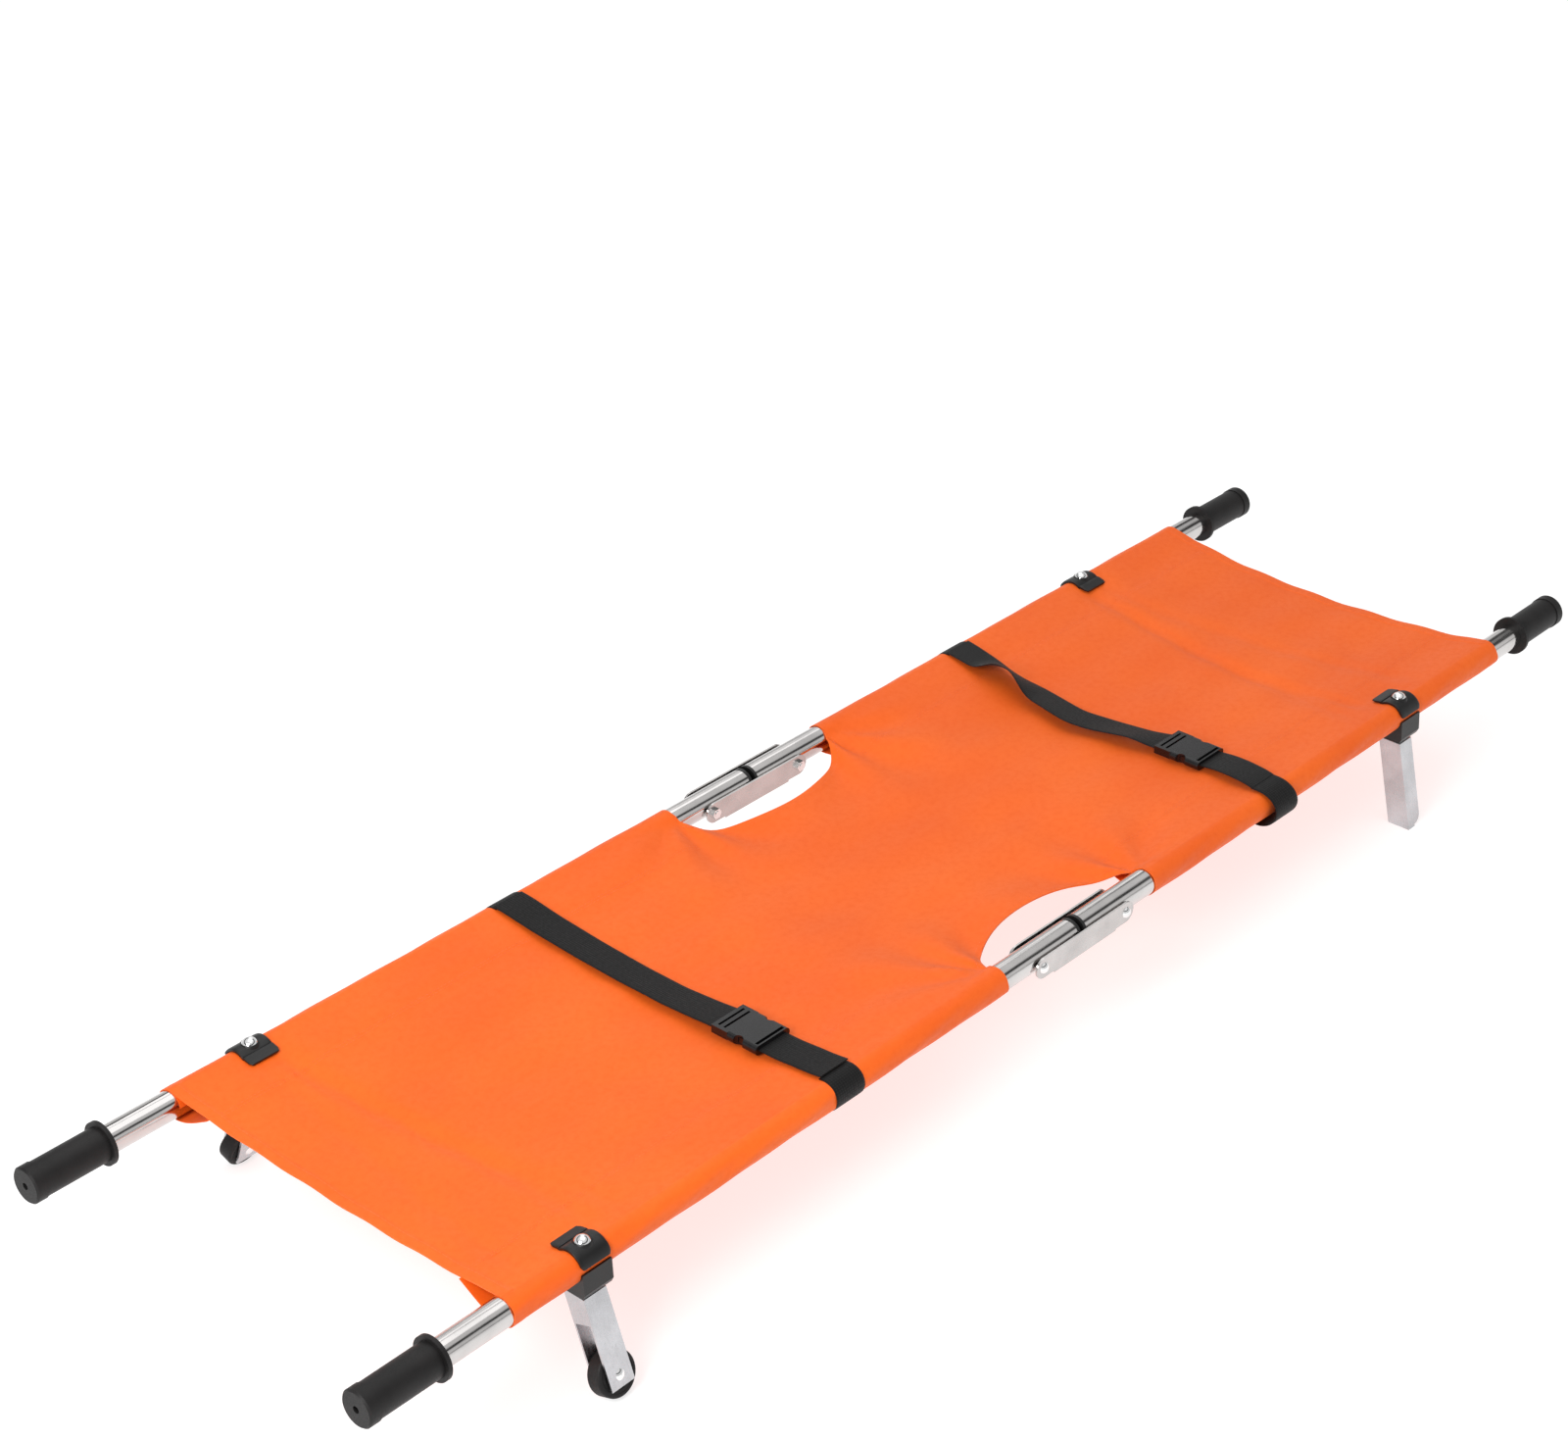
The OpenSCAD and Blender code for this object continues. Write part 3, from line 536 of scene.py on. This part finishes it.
def under_pocket(name, half, side, body):
    """The lower layer of the pocket, from under the tube to the seam."""
    sy = SIDE[side]
    xs = np.linspace(*pocket_span(half), 90)
    ts = np.linspace(0, 1, 15)
    P = np.zeros((len(xs), len(ts), 3))
    for i, x in enumerate(xs):
        seam = SEAM_IN + 0.002 * math.sin(x * 9)
        y1 = HALF_PITCH - seam
        z1 = float(bed_height(x, y1)) - LAYER_GAP
        z0 = -CLOTH_R + 0.0002
        for j, t in enumerate(ts):
            y = HALF_PITCH + (y1 - HALF_PITCH) * t
            z = z0 + (z1 - z0) * (t * t * (1.7 - 0.7 * t))
            z -= 0.0012 * math.sin(math.pi * t) * (1 + 0.5 * math.sin(x * 23))
            P[i, j] = (x, sy * y, RAIL_Z + z)
    verts, faces, uvs = slab(P, CLOTH_T, grid_uv(xs, ts * SEAM_IN), flip=sy > 0)
    o = new_mesh(name, verts, faces, "cloth", uvs, 50)
    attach(o, body)
    return o


def pocket_cover(half, side):
    """The pocket's outer side, round its own tube from under the bed's edge to underneath."""
    sy = SIDE[side]
    a, b = pocket_span(half)
    xs = np.linspace(a, b, 130)
    angles = np.concatenate([np.linspace(-COVER_IN, -0.16, TUCK_LINES), np.linspace(0, math.pi, 25)])
    P = np.zeros((len(xs), len(angles), 3))
    thick = np.full((len(xs), len(angles)), CLOTH_T)
    for i, x in enumerate(xs):
        clamp = math.exp(-(((x - CLAMP[half]) / 0.035) ** 4))
        for j, t in enumerate(angles):
            waves = 0.0006 * math.sin(x * 31 + 3 * t) + 0.0005 * math.sin(x * 70 + 5 * t)
            loose = math.sin(t) ** 2 * waves
            r = CLOTH_R - CLOTH_T / 2 + (loose * (1 - clamp))
            if t < 0:
                r = TUBE_R + TUCK_LIFT
                thick[i, j] = TUCK_T
            P[i, j] = (x, sy * (HALF_PITCH + r * math.sin(t)), RAIL_Z + r * math.cos(t))
        # a hem at the free end only
        if min(x - a, b - x) < HEM_DEPTH and abs(x - HINGE_X) > 0.5:
            thick[i, TUCK_LINES:] += 0.0006
    uv = grid_uv(xs, angles * CLOTH_R + 0.3)
    verts, faces, uvs = slab(P, thick, uv, flip=sy < 0)
    o = new_mesh(f"pocket_cover_{half}_{side}", verts, faces, "cloth", uvs, 50)
    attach(o, f"half_{half}_{side}")
    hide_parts(f"pocket_{half}_{side}")
    return o


# a stitch is three rows of three corners: start, middle and end
STITCH_FACES = [(0, 1, 2), (1, 3, 4), (1, 4, 2), (2, 4, 5), (3, 7, 4), (4, 7, 8), (4, 8, 5), (6, 8, 7),
                (0, 3, 1), (0, 6, 3), (3, 6, 7), (0, 2, 5), (0, 5, 6), (5, 8, 6)]


def stitch_end(at, side, rise):
    """Three corners at one end of a stitch, which narrows and dips into the cloth."""
    narrow = side * 0.7
    return [at - rise * 0.4, at + narrow + rise * 0.1, at - narrow + rise * 0.1]


def stitches(name, lines, body, length=0.0034, gap=0.0020, width=0.0007, height=0.0005):
    """Rows of raised stitches along polylines of points with a surface normal each."""
    verts, faces = [], []
    for pts, ups in lines:
        pts, ups = np.asarray(pts, float), np.asarray(ups, float)
        seg = np.linalg.norm(np.diff(pts, axis=0), axis=1)
        dist = np.concatenate([[0], np.cumsum(seg)])
        s = gap
        while s + length < dist[-1]:
            ends = []
            for q in (s, s + length / 2, s + length):
                ends.append([np.interp(q, dist, pts[:, k]) for k in range(3)])
            up = np.array([np.interp(s, dist, ups[:, k]) for k in range(3)])
            up = up / np.linalg.norm(up)
            a, m, b = map(np.array, ends)
            along = (b - a) / max(np.linalg.norm(b - a), 1e-9)
            side = np.cross(up, along) * width / 2
            k = len(verts)
            rise = up * height
            verts += stitch_end(a, side, rise)
            verts += [m + side, m + rise, m - side]
            verts += stitch_end(b, side, rise)
            faces += [tuple(k + c for c in corners) for corners in STITCH_FACES]
            s += length + gap
    o = new_mesh(name, verts, faces, "thread")
    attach(o, body)
    return o


def on_bed(x, y, lift=0.0):
    return (x, y, RAIL_Z + float(bed_height(x, y)) + lift)


END_STITCH, GAP_STITCH = 0.0125, 0.0075  # from the free ends, and from the hand gaps' edges


def bed_stitch_lines(x0, x1):
    """The bed's seam, end hem and hand gap stitch rows that lie between x0 and x1."""
    up = (0, 0, 1)
    rows = []
    for sy in (-1, 1):
        for d in (0.0, 0.004):
            xs = np.arange(x0 + 0.004, x1 - 0.004, 0.01)
            xs = [x for x in xs if abs(x - HINGE_X) > POCKET_IN + 0.004]
            if len(xs) > 3:
                pts = [on_bed(x, sy * (HALF_PITCH - SEAM_IN - d)) for x in xs]
                rows.append((pts, [up] * len(xs)))
    for end, s in ((CLOTH_NEAR, 1), (CLOTH_FAR, -1)):
        if x0 - 0.001 <= end <= x1 + 0.001:
            ys = np.linspace(-HALF_PITCH, HALF_PITCH, 80)
            pull = END_PULL * (1 - (ys / HALF_PITCH) ** 2) * s
            pts = [on_bed(end + s * END_STITCH + p, y, 0.0004) for y, p in zip(ys, pull)]
            rows.append((pts, [up] * len(ys)))
    for sy in (-1, 1):
        ts = np.linspace(0.12, math.pi - 0.12, 60)
        pts = []
        for t in ts:
            x = HINGE_X - POCKET_IN * math.cos(t)
            if x0 < x < x1:
                nx, ny = -math.cos(t) * GAP_DEPTH, math.sin(t) * POCKET_IN
                k = GAP_STITCH / math.hypot(nx, ny)
                depth = GAP_DEPTH * math.sin(t)
                pts.append(on_bed(x + nx * k, sy * (HALF_PITCH - depth - ny * k), 0.0003))
        if len(pts) > 3:
            rows.append((pts, [up] * len(pts)))
    return rows


def squash_soft(o):
    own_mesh(o)


BED = [
    ("bed_cloth_wheel", CLOTH_NEAR, HINGE_X - PIN_HALF, "half_wheel_left", "bed_wheel"),
    ("bed_cloth_middle", HINGE_X - PIN_HALF, HINGE_X + PIN_HALF, "fold_bracket_left", "bed_middle"),
    ("bed_cloth_foot", HINGE_X + PIN_HALF, CLOTH_FAR, "half_foot_left", "bed_foot"),
]
bed = {}
for name, x0, x1, body, node in BED:
    o = bed_piece(name, x0, x1, body, node)
    st = stitches(name.replace("cloth", "stitching"), bed_stitch_lines(x0, x1), body)
    squash_soft(o)
    squash_soft(st)
    bed[node] = (o, st)
for half in HALVES:
    for side in SIDE:
        pocket_cover(half, side)
        lower = under_pocket(f"pocket_under_{half}_{side}", half, side, f"half_{half}_left")
        squash_soft(lower)
for half in HALVES:
    o, st = bed["bed_" + half]
    x0, x1 = [b[1:3] for b in BED if b[4] == "bed_" + half][0]


# ---------------------------------------------------------------- webbing straps
WEB_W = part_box("loop_wheel_left")[1].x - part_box("loop_wheel_left")[0].x
WEB_T = 0.0016
# the points across a strap, as shares of its width, and its thickness there
WEB_ACROSS = np.array([-0.5, -0.48, -0.40, -0.2, 0, 0.2, 0.40, 0.48, 0.5])
WEB_EDGE = np.array([0.45, 0.85, 1.0, 1.0, 1.0, 1.0, 1.0, 0.85, 0.45])


def smoothed(values, rounds):
    for _ in range(rounds):
        values[1:-1] = (values[:-2] + 2 * values[1:-1] + values[2:]) / 4
    return values


def ribbon(name, path, x, body, node=None, twist=None, drift=None):
    """A flat strap at x along path, points (y, z). twist is degrees and drift is metres
    along X, each as pairs of the share of the strap's length and the value there."""
    pts = np.array([(0, y, z) for y, z in path], float)
    seg = np.linalg.norm(np.diff(pts, axis=0), axis=1)
    dist = np.concatenate([[0], np.cumsum(seg)])
    n = max(int(dist[-1] / 0.004), 8)
    s = np.linspace(0, dist[-1], n)
    cy = smoothed(np.interp(s, dist, pts[:, 1]), 5)
    cz = smoothed(np.interp(s, dist, pts[:, 2]), 5)
    ty, tz = np.gradient(cy), np.gradient(cz)
    ln = np.hypot(ty, tz)
    ty, tz = ty / ln, tz / ln
    share = s / dist[-1]
    turn = np.zeros(n) if twist is None else np.radians(np.interp(share, *zip(*twist)))
    side = np.zeros(n) if drift is None else np.interp(share, *zip(*drift))
    turn, side = smoothed(turn, 6), smoothed(side, 6)
    ws = WEB_ACROSS * WEB_W
    P = np.zeros((n, len(ws), 3))
    for j, w in enumerate(ws):
        P[:, j, 0] = x + side + w * np.cos(turn)
        P[:, j, 1] = cy + w * np.sin(turn) * (-tz)
        P[:, j, 2] = cz + w * np.sin(turn) * ty + WEB_W / 2 * np.abs(np.sin(turn))
    thick = np.repeat(WEB_T * WEB_EDGE[None, :], n, 0)
    verts, faces, uvs = slab(P, thick, grid_uv(s, ws))
    o = new_mesh(name, verts, faces, "webbing", uvs, 60)
    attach(o, body)
    if node:
        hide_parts(node)
    return o, dist[-1]


def arc(side, a0, a1, r, count):
    """Points (y, z) round a rail; degrees from straight up, positive outwards."""
    sy = SIDE[side]
    angles = np.radians(np.linspace(a0, a1, count))
    return [(sy * (HALF_PITCH + r * math.sin(a)), RAIL_Z + r * math.cos(a)) for a in angles]


LOOP_R = CLOTH_R + WEB_T / 2 + 0.0005
# how far each end of a strap has slid along its rail
STRAP_SHIFT = {("wheel", "left"): 0.0, ("wheel", "right"): 0.0,
               ("foot", "left"): 0.010, ("foot", "right"): -0.012}
# the foot strap's loose turn: outwards from the right rail's line, and above it
LOOSE_TURN = [(-0.010, 0.0206), (0.004, 0.0215), (0.018, 0.0175), (0.028, 0.008),
              (0.030, -0.004), (0.024, -0.016), (0.012, -0.0245), (-0.002, -0.0265),
              (-0.018, -0.0215), (-0.034, -0.0165), (-0.046, -0.0135)]
WEB_TWIST = {
    "wheel": [(0, 0), (0.3, 3), (0.7, 5), (0.93, 2), (1, 0)],
    "foot": [(0, 0), (0.14, 4), (0.24, 36), (0.32, 40), (0.42, 10), (0.7, 5), (0.88, 12),
             (0.96, 3), (1, 0)],
}
WEB_DRIFT = {
    "wheel": None,
    "foot": [(0, STRAP_SHIFT["foot", "left"]), (0.3, -0.004), (0.62, -0.020), (0.85, -0.008),
             (1, 0)],
}
TAIL_DRIFT = {"wheel": None, "foot": [(0, 0), (0.15, 0), (1, STRAP_SHIFT["foot", "right"])]}


def above_rails(points):
    return [(y, RAIL_Z + z) for y, z in points]


def turn_path(half, side):
    """Round one rail."""
    if side == "left":
        return arc(side, -14, 200, LOOP_R, 24)
    if half == "wheel":
        return arc(side, -25, 215, LOOP_R + 0.0004, 26)
    return above_rails((-(HALF_PITCH + out), z) for out, z in LOOSE_TURN)


def web_path(half, high, buckle_z):
    """From the left rail to the tongue, whose far end is at y = high."""
    z0 = LOOP_R + 0.0012
    slack = 0.0 if half == "wheel" else 1.0
    return above_rails([
        (HALF_PITCH - 0.001, z0), (HALF_PITCH - 0.02, z0 - 0.0010), (0.19, 0.0134 + 0.001 * slack),
        (0.12, 0.0078 + 0.002 * slack), (0.05, 0.0048 + 0.003 * slack),
        (-0.01, 0.0046 + 0.003 * slack), (high + 0.030, buckle_z - 0.0045), (high - 0.006, buckle_z)])


def tail_path(half, low, buckle_z):
    """From the socket, whose near end is at y = low, to the right rail."""
    if half == "wheel":
        return above_rails([
            (low + 0.006, buckle_z), (low - 0.004, buckle_z), (low - 0.024, 0.0138),
            (low - 0.045, 0.0162), (-HALF_PITCH + 0.022, LOOP_R - 0.0004),
            (-HALF_PITCH + 0.006, LOOP_R + 0.0022)])
    return above_rails([
        (low + 0.006, buckle_z), (low - 0.003, buckle_z + 0.001), (low - 0.022, 0.0185),
        (low - 0.045, 0.0215), (-HALF_PITCH + 0.016, 0.0225), (-HALF_PITCH + 0.008, 0.0212)])


def make_straps():
    for half in HALVES:
        x = STRAP[half]
        socket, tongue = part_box("socket_" + half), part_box("tongue_" + half)
        buckle_z = (socket[0].z + socket[1].z) / 2 - RAIL_Z
        for side in SIDE:
            o, run = ribbon(f"strap_turn_{half}_{side}", turn_path(half, side),
                            x + STRAP_SHIFT[half, side], f"half_{half}_{side}",
                            f"loop_{half}_{side}")
        web, run = ribbon(f"strap_web_{half}", web_path(half, tongue[1].y, buckle_z), x,
                          f"half_{half}_left", "strap_" + half,
                          twist=WEB_TWIST[half], drift=WEB_DRIFT[half])
        squash_soft(web)
        tail, run = ribbon(f"strap_tail_{half}", tail_path(half, socket[0].y, buckle_z), x,
                           f"half_{half}_left", drift=TAIL_DRIFT[half])
        squash_soft(tail)


make_straps()


# ---------------------------------------------------------------- saddles over the fabric
SADDLE_T, SADDLE_GAP = 0.0036, 0.0004
ARCH_OUT, ARCH_IN = 76, -40  # degrees from straight up, where the arch starts and ends
# the lip on the bed: its steps, the length of each and how many degrees each turns
LIP_STEPS, LIP_STEP, LIP_TURN = 10, 0.0015, 4.2
# the raised seat under a clamp bolt: radius and height
SEAT_PROFILE = [(0.0041, -0.0046), (0.0041, 0.0), (0.0086, 0.0), (0.0092, -0.0003),
                (0.0098, -0.0012), (0.0108, -0.0030), (0.0112, -0.0046), (0.0041, -0.0046)]


def saddle_piece(half, side):
    """Moulded saddle: an arch over the rail whose inner lip flares on to the bed."""
    sy = SIDE[side]
    lo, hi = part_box(f"saddle_{half}_{side}")
    cx, length = (lo.x + hi.x) / 2, hi.x - lo.x
    rm = CLOTH_R + SADDLE_GAP + SADDLE_T / 2
    # the section: y, z and the share of the full thickness
    pts = []
    for a in np.linspace(ARCH_OUT, ARCH_IN, 26):
        a = math.radians(a)
        pts.append((HALF_PITCH + rm * math.sin(a), rm * math.cos(a), 1.0))
    y, z, _ = pts[-1]
    heading = math.radians(ARCH_IN)
    for k in range(LIP_STEPS):
        heading += math.radians(LIP_TURN)
        y -= LIP_STEP * math.cos(heading)
        z += LIP_STEP * math.sin(heading)
        share = 1.0 - 0.045 * k
        cloth = max(float(bed_height(cx + d * length, y)) for d in (-0.5, -0.25, 0, 0.25, 0.5))
        rest = cloth + SADDLE_T * share / 2 + SADDLE_GAP + 0.0001 * k
        pts.append((y, max(z, rest), share))
    pts = np.array(pts)
    us = np.linspace(-0.5, 0.5, 17)
    P = np.zeros((len(us), len(pts), 3))
    T = np.zeros((len(us), len(pts)))
    n = len(pts)
    for i, u in enumerate(us):
        for j, (py, pz, pt) in enumerate(pts):
            # rounded corners in plan
            end = min(j, n - 1 - j) / n
            trim = 1 - 0.10 * math.exp(-((end / 0.05) ** 2))
            P[i, j] = (cx + u * length * trim, sy * py, RAIL_Z + pz)
            edge = min(1.0, 0.72 + (0.5 - abs(u)) * 9)
            T[i, j] = SADDLE_T * pt * edge
    verts, faces, _ = slab(P, T, flip=sy > 0)
    o = new_mesh(f"saddle_shell_{half}_{side}", verts, faces, "clamp", None, 50)
    soften(o, 0.0007, angle=50, harden=False)
    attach(o, f"half_{half}_{side}")
    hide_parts(f"saddle_{half}_{side}")
    return o


def lathe(name, profile, centre, key, body, turns=48):
    """A turned piece about Z: profile of (radius, height)."""
    verts, faces = [], []
    m = len(profile)
    for i in range(turns):
        a = 2 * math.pi * i / turns
        for r, z in profile:
            verts.append((centre[0] + r * math.cos(a), centre[1] + r * math.sin(a), centre[2] + z))
    for i in range(turns):
        j = (i + 1) % turns
        for k in range(m - 1):
            faces.append((i * m + k, j * m + k, j * m + k + 1, i * m + k + 1))
    o = new_mesh(name, verts, faces, key, None, 40)
    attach(o, body)
    return o


for half in HALVES:
    for side in SIDE:
        saddle_piece(half, side)
        bolt = middle(f"clamp_bolt_{half}_{side}")
        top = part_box(f"saddle_{half}_{side}")[1].z
        lathe(f"saddle_seat_{half}_{side}", SEAT_PROFILE, (bolt.x, bolt.y, top), "clamp",
              f"half_{half}_{side}")


# ---------------------------------------------------------------- floor, light
# the room's brightness from the horizon (0) to straight up (1): bright panels with dark
# bands between them, which the polished tubes reflect
WORLD_STOPS = [(0.0, 1.3), (0.07, 1.25), (0.12, 0.3), (0.2, 1.0), (0.42, 1.0), (0.5, 0.08),
               (0.62, 0.08), (0.68, 1.0), (1.0, 1.1)]
# name, place, size in metres, watts
LAMPS = (("key", (-2.6, -0.6, 2.0), 1.2, 62), ("fill", (2.4, 2.6, 3.2), 2.6, 20),
         ("top", (0.2, 0.1, 4.2), 3.4, 30))
AIM = Vector((0, 0, 0.1))


def make_floor():
    me = bpy.data.meshes.new("floor")
    s = 40
    me.from_pydata([(-s, -s, 0), (s, -s, 0), (s, s, 0), (-s, s, 0)], [], [(0, 1, 2, 3)])
    o = bpy.data.objects.new("floor", me)
    scene.collection.objects.link(o)
    n = Nodes("floor_paint")
    co = n.coords("Object", (1, 1, 1))
    cloud = n.noise(co, 2, 2)
    base = n.ramp(cloud, "Fac", [(0.3, (0.38, 0.38, 0.38)), (0.7, (0.41, 0.41, 0.41))])
    n.link(base, "Color", n.bsdf, "Base Color")
    n.bsdf.inputs["Roughness"].default_value = 0.9
    n.bsdf.inputs["Specular IOR Level"].default_value = 0.1
    n.bsdf.inputs["Emission Color"].default_value = (1, 1, 1, 1)
    n.bsdf.inputs["Emission Strength"].default_value = 0.72
    me.materials.append(n.mat)


def make_world():
    world = bpy.data.worlds.new("world")
    scene.world = world
    world.use_nodes = True
    t = world.node_tree
    bg = t.nodes["Background"]
    tc = t.nodes.new("ShaderNodeTexCoord")
    sep = t.nodes.new("ShaderNodeSeparateXYZ")
    ramp = t.nodes.new("ShaderNodeValToRGB")
    t.links.new(tc.outputs["Generated"], sep.inputs[0])
    t.links.new(sep.outputs["Z"], ramp.inputs["Fac"])
    el = ramp.color_ramp.elements
    while len(el) < len(WORLD_STOPS):
        el.new(0.5)
    for e, (p, v) in zip(el, WORLD_STOPS):
        e.position = p
        e.color = (v, v, v, 1)
    t.links.new(ramp.outputs["Color"], bg.inputs["Color"])
    bg.inputs["Strength"].default_value = 0.75


def make_lights():
    for name, at, size, power in LAMPS:
        lamp = bpy.data.lights.new(name, "AREA")
        lamp.size = size
        lamp.energy = power
        lo = bpy.data.objects.new(name, lamp)
        scene.collection.objects.link(lo)
        lo.location = at
        lo.rotation_euler = (AIM - Vector(at)).to_track_quat("-Z", "Y").to_euler()


make_floor()
make_world()
make_lights()
scene.view_settings.view_transform = "Standard"
scene.view_settings.look = "None"

bpy.context.view_layer.update()
